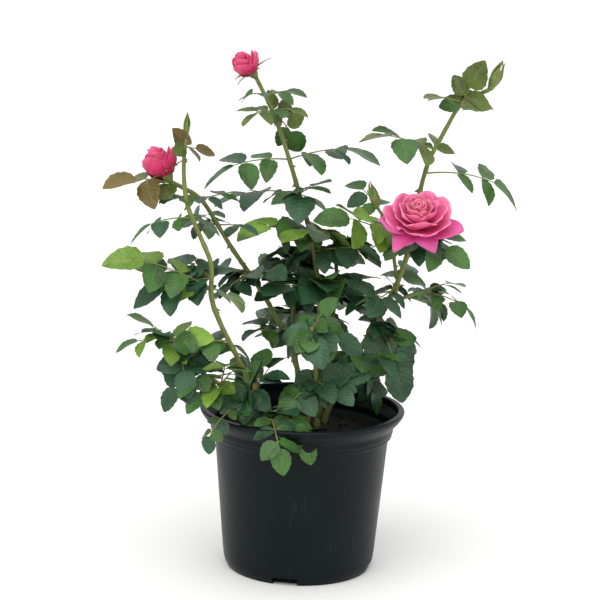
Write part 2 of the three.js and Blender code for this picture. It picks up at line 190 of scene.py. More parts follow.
def petal_material(name, heart, face, edge):
    """Velvety rose petal: darker towards its foot as painted shade deep in the bloom, paler at the rim, with
    faint long veins.
    """
    made, tree, shader, place = material(name)
    across = node(tree, "SeparateXYZ", {"Vector": place["UV"]}, "X")
    along = across.node.outputs["Y"]
    cloud = node(tree, "TexNoise", {"Vector": place["Object"], "Scale": lumps(9), "Detail": 3.0}, "Fac")
    # The deeper first colour at each petal's foot is painted shade, where the petal sits deep in the bloom.
    foot = node(tree, "MapRange", [along, 0.0, 0.55])
    body = node(tree, "Mix", {SHARE: foot, FIRST: srgb(heart), SECOND: srgb(face)}, MIXED, data_type="RGBA")
    rim = node(tree, "MapRange", [along, 0.45, 1.0, 0.0, 0.75])
    rimmed = node(tree, "Mix", {SHARE: rim, FIRST: body, SECOND: srgb(edge)}, MIXED, data_type="RGBA")
    patches = node(tree, "MapRange", [cloud, 0.35, 0.7, 0.0, 0.35])
    colour = node(tree, "Mix", {SHARE: patches, FIRST: rimmed, SECOND: srgb(heart)}, MIXED, data_type="RGBA")
    # Veins about 1 mm apart run from foot to rim, fanned by the petal's own map.
    streak = node(tree, "Math", [across, 30 * FULL_TURN], operation="MULTIPLY")
    ripple = node(tree, "Math", [streak], operation="SINE")
    relief = node(tree, "Bump", {"Height": ripple, "Distance": 0.08 * MM, "Strength": 0.3})
    plug(tree, shader, {"Base Color": colour, "Normal": relief, "Roughness": 0.55, "Specular IOR Level": 0.3,
                        "Sheen Weight": 0.15, "Sheen Roughness": 0.4, "Subsurface Weight": 0.2,
                        "Subsurface Scale": 0.004})
    return made


def bark_material(name, skin, blush, dry):
    """Green rose bark: smooth and waxy, blushed in places, with fine long streaks and corky specks."""
    made, tree, shader, place = material(name)
    long_way = node(tree, "Mapping", {"Vector": place["Object"], "Scale": (1, 1, 0.16)})
    cloud = node(tree, "TexNoise", {"Vector": place["Object"], "Scale": lumps(30), "Detail": 2.0}, "Fac")
    streak = node(tree, "TexNoise", {"Vector": long_way, "Scale": lumps(1.6), "Detail": 3.0}, "Fac")
    speck = node(tree, "TexNoise", {"Vector": place["Object"], "Scale": lumps(2.2), "Detail": 2.0}, "Fac")
    patches = node(tree, "MapRange", [cloud, 0.38, 0.66])
    body = node(tree, "Mix", {SHARE: patches, FIRST: srgb(skin), SECOND: srgb(blush)}, MIXED,
                data_type="RGBA")
    streaks = node(tree, "MapRange", [streak, 0.45, 0.75, 0.0, 0.5])
    streaked = node(tree, "Mix", {SHARE: streaks, FIRST: body, SECOND: srgb(dry)}, MIXED, data_type="RGBA")
    specks = node(tree, "MapRange", [speck, 0.66, 0.72])
    colour = node(tree, "Mix", {SHARE: specks, FIRST: streaked, SECOND: srgb(dry)}, MIXED, data_type="RGBA")
    rough = node(tree, "MapRange", [speck, 0.4, 0.75, 0.42, 0.72])
    relief = node(tree, "Bump", {"Height": streak, "Distance": 0.3 * MM, "Strength": 0.5})
    plug(tree, shader, {"Base Color": colour, "Roughness": rough, "Normal": relief})
    return made


def moulded_polypropylene():
    """Dark nursery-pot plastic: satin, with a faint grain and rub marks from handling."""
    made, tree, shader, place = material("moulded_polypropylene")
    # The mould's real grain is finer than 0.9 mm; it is drawn this coarse so that it shows.
    grain = node(tree, "TexNoise", {"Vector": place["Object"], "Scale": lumps(0.9), "Detail": 2.0}, "Fac")
    cloud = node(tree, "TexNoise", {"Vector": place["Object"], "Scale": lumps(60), "Detail": 3.0}, "Fac")
    long_way = node(tree, "Mapping", {"Vector": place["Object"], "Scale": (1, 1, 0.12)})
    rub = node(tree, "TexNoise", {"Vector": long_way, "Scale": lumps(4), "Detail": 3.0}, "Fac")
    patches = node(tree, "MapRange", [cloud, 0.35, 0.7])
    body = node(tree, "Mix", {SHARE: patches, FIRST: srgb(0x030C0E), SECOND: srgb(0x081517)}, MIXED,
                data_type="RGBA")
    rubs = node(tree, "MapRange", [rub, 0.62, 0.8, 0.0, 0.22])
    colour = node(tree, "Mix", {SHARE: rubs, FIRST: body, SECOND: srgb(0x3A4444)}, MIXED, data_type="RGBA")
    rough = node(tree, "MapRange", [cloud, 0.3, 0.7, 0.34, 0.46])
    relief = node(tree, "Bump", {"Height": grain, "Distance": 0.05 * MM, "Strength": 0.25})
    plug(tree, shader, {"Base Color": colour, "Roughness": rough, "Normal": relief, "IOR": 1.49,
                        "Specular IOR Level": 0.15})
    return made


def peat_compost():
    """Moist peat compost: near black, matt, with paler fibres."""
    made, tree, shader, place = material("peat_compost")
    crumb = node(tree, "TexNoise", {"Vector": place["Object"], "Scale": lumps(3.5), "Detail": 4.0}, "Fac")
    fibre = node(tree, "TexNoise", {"Vector": place["Object"], "Scale": lumps(1.4), "Detail": 3.0}, "Fac")
    patches = node(tree, "MapRange", [crumb, 0.35, 0.7])
    body = node(tree, "Mix", {SHARE: patches, FIRST: srgb(0x0A0807), SECOND: srgb(0x1E1712)}, MIXED,
                data_type="RGBA")
    fibres = node(tree, "MapRange", [fibre, 0.64, 0.74])
    colour = node(tree, "Mix", {SHARE: fibres, FIRST: body, SECOND: srgb(0x443424)}, MIXED, data_type="RGBA")
    relief = node(tree, "Bump", {"Height": crumb, "Distance": 1.2 * MM, "Strength": 0.8})
    plug(tree, shader, {"Base Color": colour, "Roughness": 0.92, "Normal": relief})
    return made


def sepal_material(name, skin, blush):
    """Waxy green sepal and calyx skin, blushed in places."""
    made, tree, shader, place = material(name)
    cloud = node(tree, "TexNoise", {"Vector": place["Object"], "Scale": lumps(7), "Detail": 2.0}, "Fac")
    fine = node(tree, "TexNoise", {"Vector": place["Object"], "Scale": lumps(1.2), "Detail": 2.0}, "Fac")
    patches = node(tree, "MapRange", [cloud, 0.4, 0.68])
    colour = node(tree, "Mix", {SHARE: patches, FIRST: srgb(skin), SECOND: srgb(blush)}, MIXED,
                  data_type="RGBA")
    relief = node(tree, "Bump", {"Height": fine, "Distance": 0.12 * MM, "Strength": 0.4})
    plug(tree, shader, {"Base Color": colour, "Roughness": 0.45, "Normal": relief})
    return made


LEAF = {
    # The dark tint is partly the colour of old leaves and partly painted shade: it goes to whole sprays that
    # sit in shade in the bush's middle.
    "leaf_dark": leaf_material("old_leaf_and_painted_shade", 0x24482C, 0x456848, 0x4E7050, 0.42),
    "leaf_mid": leaf_material("waxy_full_grown_leaf", 0x345A24, 0x5C8040, 0x5A7A4A, 0.44),
    "leaf_young": leaf_material("thin_young_leaf", 0x648A2A, 0x8FA852, 0x78944E, 0.48),
    "leaf_olive": leaf_material("olive_leaf", 0x4C5F20, 0x788440, 0x6A7848, 0.44),
    "leaf_bronze": leaf_material("bronze_new_leaf", 0x5C4A18, 0x7C7438, 0x764628, 0.38),
}
# A few leaflets of each spray are older or younger than the rest: the other tint, and their share.
SECOND_TINT = {
    "leaf_dark": ("leaf_mid", 0.22),
    "leaf_mid": ("leaf_dark", 0.35),
    "leaf_young": ("leaf_mid", 0.5),
    "leaf_olive": ("leaf_mid", 0.3),
    "leaf_bronze": ("leaf_olive", 0.3),
}
PETAL_FACE = petal_material("rose_petal", 0xD01C58, 0xEC5094, 0xF59CC4)
PETAL_HEART = petal_material("rose_heart_petal", 0xD02450, 0xEE5C8C, 0xF8A4C0)
PETAL_FURLED = petal_material("furled_rose_petal", 0xA80C34, 0xD62662, 0xEE6A96)
PETAL_OUTER = petal_material("rose_guard_petal", 0xB01C5C, 0xD0388A, 0xE478B0)
CANE_BARK = bark_material("green_rose_bark", 0x637A30, 0x6E6C34, 0x90905A)
STALK_SKIN = bark_material("leaf_stalk_skin", 0x6B8440, 0x7E6C3C, 0x94985E)
PRICKLE = bark_material("rose_prickle", 0x74703A, 0x80583A, 0x9C8C58)
SEPAL = sepal_material("waxy_sepal", 0x5F8238, 0x7C6A3A)
POT = moulded_polypropylene()
PEAT = peat_compost()


# ---- pieces -------------------------------------------------------------------------------
def finish_piece(name, mesh, finish, replaced=(), smooth=True):
    """Turns a bmesh into a named object that rides on the plant's one body."""
    data = bpy.data.meshes.new(name)
    mesh.to_mesh(data)
    mesh.free()
    for polygon in data.polygons:
        polygon.use_smooth = smooth
    data.materials.append(finish)
    made = bpy.data.objects.new(name, data)
    bpy.context.scene.collection.objects.link(made)
    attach(made, BODY)
    if replaced:
        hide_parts(*replaced)
    return made


# How a limb's middle is found again from its CAD solid, in metres.
LIMB_CLOUD = 0.002
LIMB_STEP = 0.008
FOOT_SLICE = 0.003
FOOT_AHEAD = (0.006, 0.02)
SLICE_HALF = 0.003
LIMB_REACH = 0.009
MOST_STEPS = 200


def surface_points(name, pitch):
    """Points spread evenly over a CAD node's faces, about pitch apart."""
    mesh = NODES[name].data
    mesh.calc_loop_triangles()
    corners = np.array([v.co for v in mesh.vertices], float)
    found = []
    for triangle in mesh.loop_triangles:
        a, b, c = corners[list(triangle.vertices)]
        longest = max(np.linalg.norm(b - a), np.linalg.norm(c - a), np.linalg.norm(c - b))
        count = max(1, int(math.ceil(longest / pitch)))
        for i in range(count):
            for j in range(count - i):
                s, t = (i + 1 / 3) / count, (j + 1 / 3) / count
                found.append(a + (b - a) * s + (c - a) * t)
    return np.array(found)


def centre_line(name):
    """The middle of a limb, walked from its lowest end: a list of (point, radius)."""
    cloud = surface_points(name, LIMB_CLOUD)
    low = cloud[cloud[:, 2] < cloud[:, 2].min() + FOOT_SLICE].mean(0)
    reach = np.linalg.norm(cloud - low, axis=1)
    ahead = cloud[(reach > FOOT_AHEAD[0]) & (reach < FOOT_AHEAD[1])].mean(0)
    way = (ahead - low) / np.linalg.norm(ahead - low)
    line = [(Vector(low), None)]
    here = low
    for _ in range(MOST_STEPS):
        offset = cloud - (here + way * LIMB_STEP)
        along = offset @ way
        lateral = np.linalg.norm(offset - np.outer(along, way), axis=1)
        near = cloud[(np.abs(along) < SLICE_HALF) & (lateral < LIMB_REACH)]
        if len(near) < 4:
            break
        centre = near.mean(0)
        radius = float(np.linalg.norm(near - centre, axis=1).mean())
        step = centre - here
        way = step / np.linalg.norm(step)
        here = centre
        line.append((Vector(centre), radius))
    left = ((cloud - here) @ way).max()
    if left > LIMB_CLOUD:
        line.append((Vector(here + way * left), line[-1][1]))
    line[0] = (line[0][0], line[1][1])
    return line


LIMBS = [n for n in NODES if n.startswith(("cane_", "shoot_")) and "_leaves_" not in n]
SPRAYS = sorted(n for n in NODES if "_leaves_" in n)
LINES = {limb: centre_line(limb) for limb in sorted(LIMBS)}


def place_on_line(line, share):
    """The point, the direction and the radius at a share of the way along a limb."""
    at = max(0.0, min(0.999, share)) * (len(line) - 1)
    k = int(at)
    a, b = line[k], line[k + 1]
    point = a[0].lerp(b[0], at - k)
    return point, (b[0] - a[0]).normalized(), a[1] + (b[1] - a[1]) * (at - k)


# ---- canes, crown and prickles ------------------------------------------------------------
# Canes, in metres: their stations, the swollen joints along them, and their prickles.
CANE_STATION = 0.006
CANE_SIDES = 12
JOINTS = 40
JOINT_STEP = 0.028
JOINT_LENGTH = 0.004
JOINT_SWELL = 0.16
BARK_OVER_CAD = 1.04
PRICKLE_STEP = 0.017
PRICKLE_LENGTHS = (2.6, 4.6)  # mm
THIN_CANE = 0.002


def turn_to(way, side):
    """A matrix with its Z along way and its X near side, and that X."""
    z = way.normalized()
    x = (side - z * side.dot(z)).normalized()
    return Matrix((x, z.cross(x), z)).transposed().to_4x4(), x


def sweep(mesh, stations, sides, uneven=0.0, chance=None):
    """Extrudes a ring through stations of (point, radius), and closes both ends."""
    side = Vector((1, 0.3, 0.1))
    ring = None
    for index, (point, radius) in enumerate(stations):
        ahead = stations[min(index + 1, len(stations) - 1)][0]
        behind = stations[max(index - 1, 0)][0]
        turn, side = turn_to(ahead - behind, side)
        goal = Matrix.Translation(point) @ turn
        if ring is None:
            ring = bmesh.ops.create_circle(mesh, cap_ends=True, radius=1.0, segments=sides)["verts"]
            edges = list(dict.fromkeys(edge for vert in ring for edge in vert.link_edges))
        else:
            grown = bmesh.ops.extrude_edge_only(mesh, edges=edges)["geom"]
            ring = [item for item in grown if isinstance(item, bmesh.types.BMVert)]
            edges = [item for item in grown if isinstance(item, bmesh.types.BMEdge)
                     and all(vert in set(ring) for vert in item.verts)]
        for number, vert in enumerate(ring):
            angle = FULL_TURN * number / sides
            swell = 1 + (uneven * (chance.random() - 0.5) if chance else 0)
            vert.co = goal @ Vector((radius * swell * math.cos(angle), radius * swell * math.sin(angle), 0))
    bmesh.ops.contextual_create(mesh, geom=edges)


def smoothed(values, rounds):
    """A row of values, each drawn towards its neighbours, with both ends held."""
    for _ in range(rounds):
        middle = [(a + b * 2 + c) / 4 for a, b, c in zip(values, values[1:], values[2:])]
        values = [values[0]] + middle + [values[-1]]
    return values


def smooth_stations(line):
    """Even stations along a limb, with its bumpy recovered points smoothed."""
    points = smoothed([point for point, _ in line], 2)
    radii = smoothed([radius for _, radius in line], 4)
    smooth = list(zip(points, radii))
    length = sum((b - a).length for a, b in zip(points, points[1:]))
    count = max(4, int(length / CANE_STATION))
    return [place_on_line(smooth, k / count)[::2] for k in range(count + 1)]


def grow_canes():
    """Each limb's bark: a slightly uneven tapering rod, swollen at its joints."""
    for limb in sorted(LINES):
        chance = random.Random(limb)
        stations = smooth_stations(LINES[limb])
        joints = [chance.uniform(0.0, 0.04) + k * JOINT_STEP for k in range(JOINTS)]
        shaped = []
        walked = 0.0
        for index, (point, radius) in enumerate(stations):
            if index:
                walked += (point - stations[index - 1][0]).length
            nearest = min(abs(walked - joint) for joint in joints)
            swell = 1 + JOINT_SWELL * math.exp(-(nearest / JOINT_LENGTH) ** 2)
            shaped.append((point, radius * BARK_OVER_CAD * swell))
        mesh = bmesh.new()
        sweep(mesh, shaped, CANE_SIDES, 0.09, chance)
        bmesh.ops.recalc_face_normals(mesh, faces=mesh.faces)
        finish_piece(limb + "_bark", mesh, CANE_BARK, [limb])


def grow_prickles():
    """Down-curved prickles on every cane, one for each 17 mm of it."""
    mesh = bmesh.new()
    for limb in sorted(LINES):
        chance = random.Random("prickles " + limb)
        line = LINES[limb]
        for _ in range(int(len(line) * LIMB_STEP / PRICKLE_STEP)):
            point, way, radius = place_on_line(line, chance.uniform(0.06, 0.93))
            turn = chance.uniform(0, FULL_TURN)
            side = way.cross(UP if abs(way.z) < 0.9 else Vector((1, 0, 0))).normalized()
            out = Matrix.Rotation(turn, 3, way) @ side
            size = chance.uniform(*PRICKLE_LENGTHS) * MM * (0.7 if radius < THIN_CANE else 1.0)
            goal = Matrix.Translation(point + out * (radius * 0.8 + size * 0.5)) @ turn_to(out, way)[0]
            made = bmesh.ops.create_cone(mesh, cap_ends=True, segments=5, radius1=size * 0.42,
                                         radius2=size * 0.03, depth=size,
                                         matrix=Matrix.Diagonal((1.5, 0.6, 1, 1)))
            for vert in made["verts"]:
                droop = (vert.co.z / size + 0.5) ** 2
                vert.co.x -= droop * size * 0.55
            bmesh.ops.transform(mesh, matrix=goal, verts=made["verts"])
    finish_piece("prickles", mesh, PRICKLE, smooth=False)


def shape_crown():
    """The knuckle that the canes spring from: a ball with nine knobs, flat underneath."""
    low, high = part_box("crown")
    centre = (low + high) / 2
    half = (high - low) / 2
    chance = random.Random("crown")
    mesh = bmesh.new()
    bmesh.ops.create_icosphere(mesh, subdivisions=4, radius=1.0)
    knobs = [Vector((chance.uniform(-1, 1), chance.uniform(-1, 1), chance.uniform(-0.4, 1))).normalized()
             for _ in range(9)]
    for vert in mesh.verts:
        rise = sum(math.exp(-((vert.co - knob).length / 0.38) ** 2) for knob in knobs)
        vert.co *= 0.86 + 0.16 * rise + 0.03 * math.sin(vert.co.x * 21) * math.cos(vert.co.z * 17)
        vert.co = Vector((vert.co.x * half.x, vert.co.y * half.y, max(-1.0, vert.co.z) * half.z)) + centre
    finish_piece("crown_bark", mesh, CANE_BARK, ["crown"])


grow_canes()
grow_prickles()
shape_crown()


# ---- leaves -------------------------------------------------------------------------------
LEAFLET_ACROSS = 4
LEAFLET_ALONG = 12
TOOTH_OUT, TOOTH_IN = 1.05, 0.965
# Lengths of leaflets in metres, and how much shorter they are where they hang over the pot's rim.
END_LEAFLET = (0.024, 0.043)
SIDE_LEAFLET = (0.019, 0.036)
OVER_RIM = 0.66
POT_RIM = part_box("pot")[1].z
SHORT_ARM = 0.075
STALK_STEPS = 6
MOST_PAIRS = 3
# Arms wider than these carry one, two and three leaves more, below where the bush opens out.
FULL_WIDTHS = (0.019, 0.028, 0.038)
OPEN_ABOVE = 0.385
# How the arms of a mass of leaves are found again from its CAD solid, in metres.
LEAF_CLOUD = 0.0035
KNOT_REACH = 0.011
SHORTEST_ARM = 0.024
ARMS_APART = math.cos(math.radians(47))
ARM_ROOT = 0.006


def leaf_half_width(share):
    """Half width of a rose leaflet, as a share of its greatest, from stalk to point."""
    return max(0.0, (share ** 0.5) * ((1 - share) ** 0.78) * 2.36)


def add_leaflet(mesh, uv_layer, base, way, normal, length, width, second_share, chance):
    """One toothed leaflet, folded a little along its midrib, drooping and wavy."""
    z_axis = (normal - way * normal.dot(way)).normalized()
    y_axis = z_axis.cross(way).normalized()
    goal = Matrix.Translation(base) @ Matrix((way, y_axis, z_axis)).transposed().to_4x4()
    made = bmesh.ops.create_grid(mesh, x_segments=LEAFLET_ALONG, y_segments=LEAFLET_ACROSS, size=0.5)
    fold = chance.uniform(0.06, 0.32)
    droop = chance.uniform(0.04, 0.3)
    phase = chance.uniform(0, 6.28)
    wave = chance.uniform(0.006, 0.022)
    twist = chance.uniform(-0.2, 0.2)
    finish = 1 if chance.random() < second_share else 0
    faces = set()
    places = {}
    for vert in made["verts"]:
        row = round((vert.co.x + 0.5) * LEAFLET_ALONG)
        even = row / LEAFLET_ALONG
        share = 0.45 * even + 0.55 * (0.5 - 0.5 * math.cos(math.pi * even))
        across = vert.co.y * 2
        tooth = 1.0
        if abs(across) > 0.9 and 0 < row < LEAFLET_ALONG:
            tooth = TOOTH_OUT if row % 2 else TOOTH_IN
        half = leaf_half_width(share) * width / 2 * tooth
        x = share * length
        y = across * half
        z = abs(across) * half * fold - droop * length * share ** 2
        z += wave * length * math.sin(share * 9 + phase + across) * abs(across)
        z += twist * y * share
        places[vert] = (across * 0.5 + 0.5, share)
        vert.co = Vector((x, y, z))
        faces.update(vert.link_faces)
    for face in faces:
        face.material_index = finish
        for loop in face.loops:
            loop[uv_layer].uv = places[loop.vert]
    bmesh.ops.transform(mesh, matrix=goal, verts=made["verts"])


def curve_point(base, bend, tip, share):
    """The point at a share of the way along a curve from base to tip that leans towards bend."""
    return base.lerp(bend, share).lerp(bend.lerp(tip, share), share)


def find_arms(name):
    """The compound leaves that a mass stands for: base, bend, tip, width, face and length of each."""
    limb = name.partition("_leaves_")[0]
    cloud = surface_points(name, LEAF_CLOUD)
    line = LINES[limb]
    samples = []
    steps = len(line) * 3
    for k in range(steps + 1):
        point = place_on_line(line, k / steps)[0]
        samples.append((int((np.linalg.norm(cloud - np.array(point), axis=1) < KNOT_REACH).sum()), k))
    most = max(count for count, _ in samples)
    good = [k for count, k in samples if count > 0.8 * most]
    base = np.array(place_on_line(line, sum(good) / len(good) / steps)[0])
    offset = cloud - base
    reach = np.linalg.norm(offset, axis=1)
    tips = []
    for k in np.argsort(-reach):
        if reach[k] < SHORTEST_ARM:
            break
        direction = offset[k] / reach[k]
        if all(direction @ other < ARMS_APART for other, _ in tips):
            tips.append((direction, reach[k]))
    arms = []
    for direction, length in tips:
        along = offset @ direction
        lateral = offset - np.outer(along, direction)
        away = np.linalg.norm(lateral, axis=1)
        own = (along > 0.25 * length) & (away < 0.42 * length + ARM_ROOT)
        for other, _ in tips:
            if other is not direction:
                own &= (offset @ other) < along
        middle = own & (along < 0.75 * length) & (along > 0.3 * length)
        if middle.sum() < 4:
            continue
        centre = base + offset[middle].mean(0)
        tip = base + direction * length
        bend = 2 * centre - (base + tip) / 2
        best = None
        for degrees in range(-40, 91, 10):
            tilt = math.radians(degrees)
            normal = np.array((0.0, -math.sin(tilt), math.cos(tilt)))
            normal -= direction * (normal @ direction)
            size = np.linalg.norm(normal)
            if size < 0.3:
                continue
            normal /= size
            thick = np.std(lateral[middle] @ normal)
            if best is None or thick < best[0]:
                best = (thick, normal)
        normal = best[1]
        across = np.cross(normal, direction)
        width = float(np.ptp(lateral[middle] @ across))
        arms.append((Vector(base), Vector(bend), Vector(tip), width, Vector(normal), length))
    return arms


def dress_arm(mesh, uv_layer, stalks, arm, second_share, chance):
    """One compound leaf along an arm: a tapering stalk, pairs of leaflets and an end leaflet."""
    base, bend, tip, width, normal, length = arm
    least = max(END_LEAFLET[0], 1.15 * width if length < SHORT_ARM else 0)
    end_length = min(END_LEAFLET[1], max(least, 0.43 * length))
    if tip.z < POT_RIM:
        end_length *= OVER_RIM
    side_length = min(SIDE_LEAFLET[1], max(SIDE_LEAFLET[0], 0.9 * end_length))
    last_pair = length - end_length * 1.3
    gap = side_length * 0.76
    pairs = max(1, min(MOST_PAIRS, 1 + int((last_pair - 0.1 * length) / gap)))
    stalk_end = 1 - 0.97 * end_length / length
    stations = []
    for k in range(STALK_STEPS + 1):
        taper = k / STALK_STEPS
        stations.append((curve_point(base, bend, tip, stalk_end * taper), (1.0 - 0.45 * taper) * MM))
    sweep(stalks, stations, 5)
    outward = Vector((base.x, base.y, 0))
    outward = outward.normalized() if outward.length > 0.01 else outward * 0
    for pair in range(pairs):
        share = max(0.08, (last_pair - pair * gap) / length)
        point = curve_point(base, bend, tip, share)
        along = (curve_point(base, bend, tip, share + 0.05) - point).normalized()
        size = side_length * (1 - 0.12 * pair)
        for hand in (1, -1):
            across = normal.cross(along).normalized() * hand
            open_by = math.radians(chance.uniform(58, 84))
            way = along * math.cos(open_by) + across * math.sin(open_by)
            way = (way - UP * chance.uniform(0.0, 0.55)).normalized()
            face = normal + outward * chance.uniform(-0.1, 0.75) + along * chance.uniform(-0.3, 0.35)
            face = face + across * chance.uniform(-0.4, 0.4) + UP * 0.25
            long = size * chance.uniform(0.85, 1.1)
            start = point + way * 1.6 * MM
            sweep(stalks, [(point, 0.55 * MM), (start + way * 1.0 * MM, 0.45 * MM)], 4)
            wide = long * chance.uniform(0.7, 0.84)
            add_leaflet(mesh, uv_layer, start, way, face, long, wide, second_share, chance)
    point = curve_point(base, bend, tip, stalk_end)
    way = (tip - point).normalized()
    way = (way - UP * chance.uniform(0.0, 0.15)).normalized()
    face = normal + outward * chance.uniform(0.0, 0.8) + normal.cross(way) * chance.uniform(-0.35, 0.35)
    wide = end_length * chance.uniform(0.72, 0.86)
    add_leaflet(mesh, uv_layer, point, way, face, end_length, wide, second_share, chance)


def side_arm(arm, chance):
    """A shorter leaf from the same joint, turned a little to one side and up or down."""
    base, bend, tip, width, normal, length = arm
    turn = Matrix.Rotation(chance.choice((-1, 1)) * math.radians(chance.uniform(22, 38)), 3, "Z")
    size = chance.uniform(0.6, 0.85)
    lift = UP * chance.uniform(-0.012, 0.016)
    swung = [base + turn @ (point - base) * size for point in (bend, tip)]
    return base, swung[0] + lift * 0.5, swung[1] + lift, width, normal, length * size


def grow_leaves():
    """Every mass of leaves as its leaflets, in two tints, and all their stalks as one piece."""
    slots = {part["node"]: part["material_slot"] for part in frame["record"]["subparts"]}
    stalks = bmesh.new()
    for name in SPRAYS:
        chance = random.Random(name)
        mesh = bmesh.new()
        uv_layer = mesh.loops.layers.uv.new("leaf_map")
        slot = slots[name]
        second, second_share = SECOND_TINT[slot]
        for arm in find_arms(name):
            dress_arm(mesh, uv_layer, stalks, arm, second_share, chance)
            for full_width in FULL_WIDTHS:
                if arm[3] > full_width and arm[0].z < OPEN_ABOVE:
                    dress_arm(mesh, uv_layer, stalks, side_arm(arm, chance), second_share, chance)
        made = finish_piece(name + "_blades", mesh, LEAF[slot], [name])
        made.data.materials.append(LEAF[second])
    bmesh.ops.recalc_face_normals(stalks, faces=stalks.faces)
    finish_piece("leaf_stalks", stalks, STALK_SKIN)


grow_leaves()


# ---- petals, sepals and buds --------------------------------------------------------------
PETAL_GRID = 10
PETAL_STEPS = 40
HEAD_CLOUD = 0.003


def petal_outline(share, spec):
    """Half width of a petal as a share of its greatest: narrow foot, broad shoulder, round top."""
    foot, shoulder = spec.get("foot", 0.3), spec.get("shoulder", 0.62)
    if spec.get("tapered"):
        return (0.35 + 0.65 * min(1.0, share / 0.18)) * (1 - share) ** 0.8 + 0.03
    rise = foot + (1 - foot) * math.sin(math.pi / 2 * min(1.0, share / shoulder)) ** 1.3
    if share <= shoulder:
        return rise
    fall = (share - shoulder) / (1 - shoulder)
    return rise * (1 - 0.4 * fall ** 2.2)


def add_petal(mesh, uv_layer, goal, turn, spec, chance):
    """A petal that leaves the axis at one lean and ends at another, wrapped round the axis."""
    made = bmesh.ops.create_grid(mesh, x_segments=PETAL_GRID, y_segments=PETAL_GRID, size=0.5)
    length = spec["length"] * MM * chance.uniform(0.93, 1.07)
    half = spec["half"] * MM * chance.uniform(0.93, 1.07)
    lean = [math.radians(angle + chance.uniform(-6, 6)) for angle in spec["lean"]]
    roll = math.radians(spec.get("roll", 0))
    ruffle = spec.get("ruffle", 0.05) * length
    phase = [chance.uniform(0, 6.28) for _ in range(3)]
    out, high = [spec.get("start", 2.0) * MM], [spec.get("lift", 0.0) * MM]
    angles = []
    for k in range(PETAL_STEPS + 1):
        share = k / PETAL_STEPS
        angle = lean[0] + (lean[1] - lean[0]) * share ** 1.2 + roll * max(0.0, (share - 0.7) / 0.3) ** 2
        angles.append(angle)
        out.append(out[-1] + math.sin(angle) * length / PETAL_STEPS)
        high.append(high[-1] + math.cos(angle) * length / PETAL_STEPS)
    places = {}
    faces = set()
    for vert in made["verts"]:
        across = vert.co.x * 2
        share = vert.co.y + 0.5
        round_off = spec.get("point", 0.04) * (1 - abs(across)) ** 2
        round_off -= spec.get("drop", 0.2) * abs(across) ** 2.4
        at = PETAL_STEPS * min(share * (1 + round_off * share), 1.12)
        k = min(PETAL_STEPS - 1, int(at))
        angle = angles[k]
        radial = out[k] + (at - k) * math.sin(angle) * length / PETAL_STEPS
        height = high[k] + (at - k) * math.cos(angle) * length / PETAL_STEPS
        side = across * half * petal_outline(share, spec)
        wrap = max(abs(radial), spec.get("wrap", 0.9) * half)
        swing = max(-2.4, min(2.4, side / wrap))
        lateral = wrap * math.sin(swing)
        inward = wrap * (1 - math.cos(swing))
        wave = math.sin(across * 3.0 + phase[0]) + 0.45 * math.sin(across * 5.6 + share * 3 + phase[1])
        push = ruffle * share ** 2 * wave * 0.5
        push += spec.get("curl", 0.08) * length * max(0.0, (abs(across) - 0.6) / 0.4) ** 2 * share
        push += 0.02 * length * math.sin(share * 6 + across * 3 + phase[2])
        vert.co = Vector((radial - inward + push * math.cos(angle), lateral, height - push * math.sin(angle)))
        places[vert] = (across * 0.5 + 0.5, share)
        faces.update(vert.link_faces)
    for face in faces:
        for loop in face.loops:
            loop[uv_layer].uv = places[loop.vert]
    bmesh.ops.transform(mesh, matrix=goal @ Matrix.Rotation(turn, 4, "Z"), verts=made["verts"])


def whorl(mesh, uv_layer, goal, count, start_turn, spec, chance):
    """A ring of like petals, not quite evenly spaced."""
    for k in range(count):
        turn = start_turn + FULL_TURN * k / count + chance.uniform(-0.12, 0.12)
        add_petal(mesh, uv_layer, goal, turn, spec, chance)


def head_frame(name, stem):
    """A matrix at the foot of a flower head, with Z along its axis, and the head's height."""
    cloud = surface_points(name, HEAD_CLOUD)
    foot = np.array(LINES[stem][-1][0])
    axis = Vector(cloud.mean(0) - foot).normalized()
    height = float(((cloud - foot) @ np.array(axis)).max())
    return Matrix.Translation(foot) @ turn_to(axis, Vector((1, 0, 0)))[0], height


def petal_piece(name, finish, node_names, build, thickness=0.35):
    """A piece of several petals, given their thickness by a Solidify modifier."""
    mesh = bmesh.new()
    uv_layer = mesh.loops.layers.uv.new("petal_map")
    build(mesh, uv_layer)
    bmesh.ops.recalc_face_normals(mesh, faces=mesh.faces)
    made = finish_piece(name, mesh, finish, node_names)
    solid = made.modifiers.new("thickness", "SOLIDIFY")
    solid.thickness = thickness * MM
    solid.offset = 0


def outline_of(profile):
    """A bmesh of one open line through points of (radius, height) in mm."""
    mesh = bmesh.new()
    verts = [mesh.verts.new((radius * MM, 0, height * MM)) for radius, height in profile]
    for pair in zip(verts, verts[1:]):
        mesh.edges.new(pair)
    return mesh


def spin_closed(mesh, steps):
    """Spins a line a full turn round the upright axis, and closes its seam and its poles."""
    bmesh.ops.spin(mesh, geom=mesh.verts[:] + mesh.edges[:], cent=(0, 0, 0), axis=(0, 0, 1),
                   angle=FULL_TURN, steps=steps, use_merge=True)
    bmesh.ops.remove_doubles(mesh, verts=mesh.verts, dist=SEAM)
    bmesh.ops.recalc_face_normals(mesh, faces=mesh.faces)


def spun_form(name, goal, profile, replaced=(), ribs=0.0):
    """A closed round green form with five soft ribs, spun from a profile of (radius, height) in mm."""
    mesh = outline_of(profile)
    spin_closed(mesh, 24)
    for vert in mesh.verts:
        turn = math.atan2(vert.co.y, vert.co.x)
        swell = 1 + ribs * math.cos(5 * turn)
        vert.co.x *= swell
        vert.co.y *= swell
    bmesh.ops.transform(mesh, matrix=goal, verts=mesh.verts)
    finish_piece(name, mesh, SEPAL, replaced)


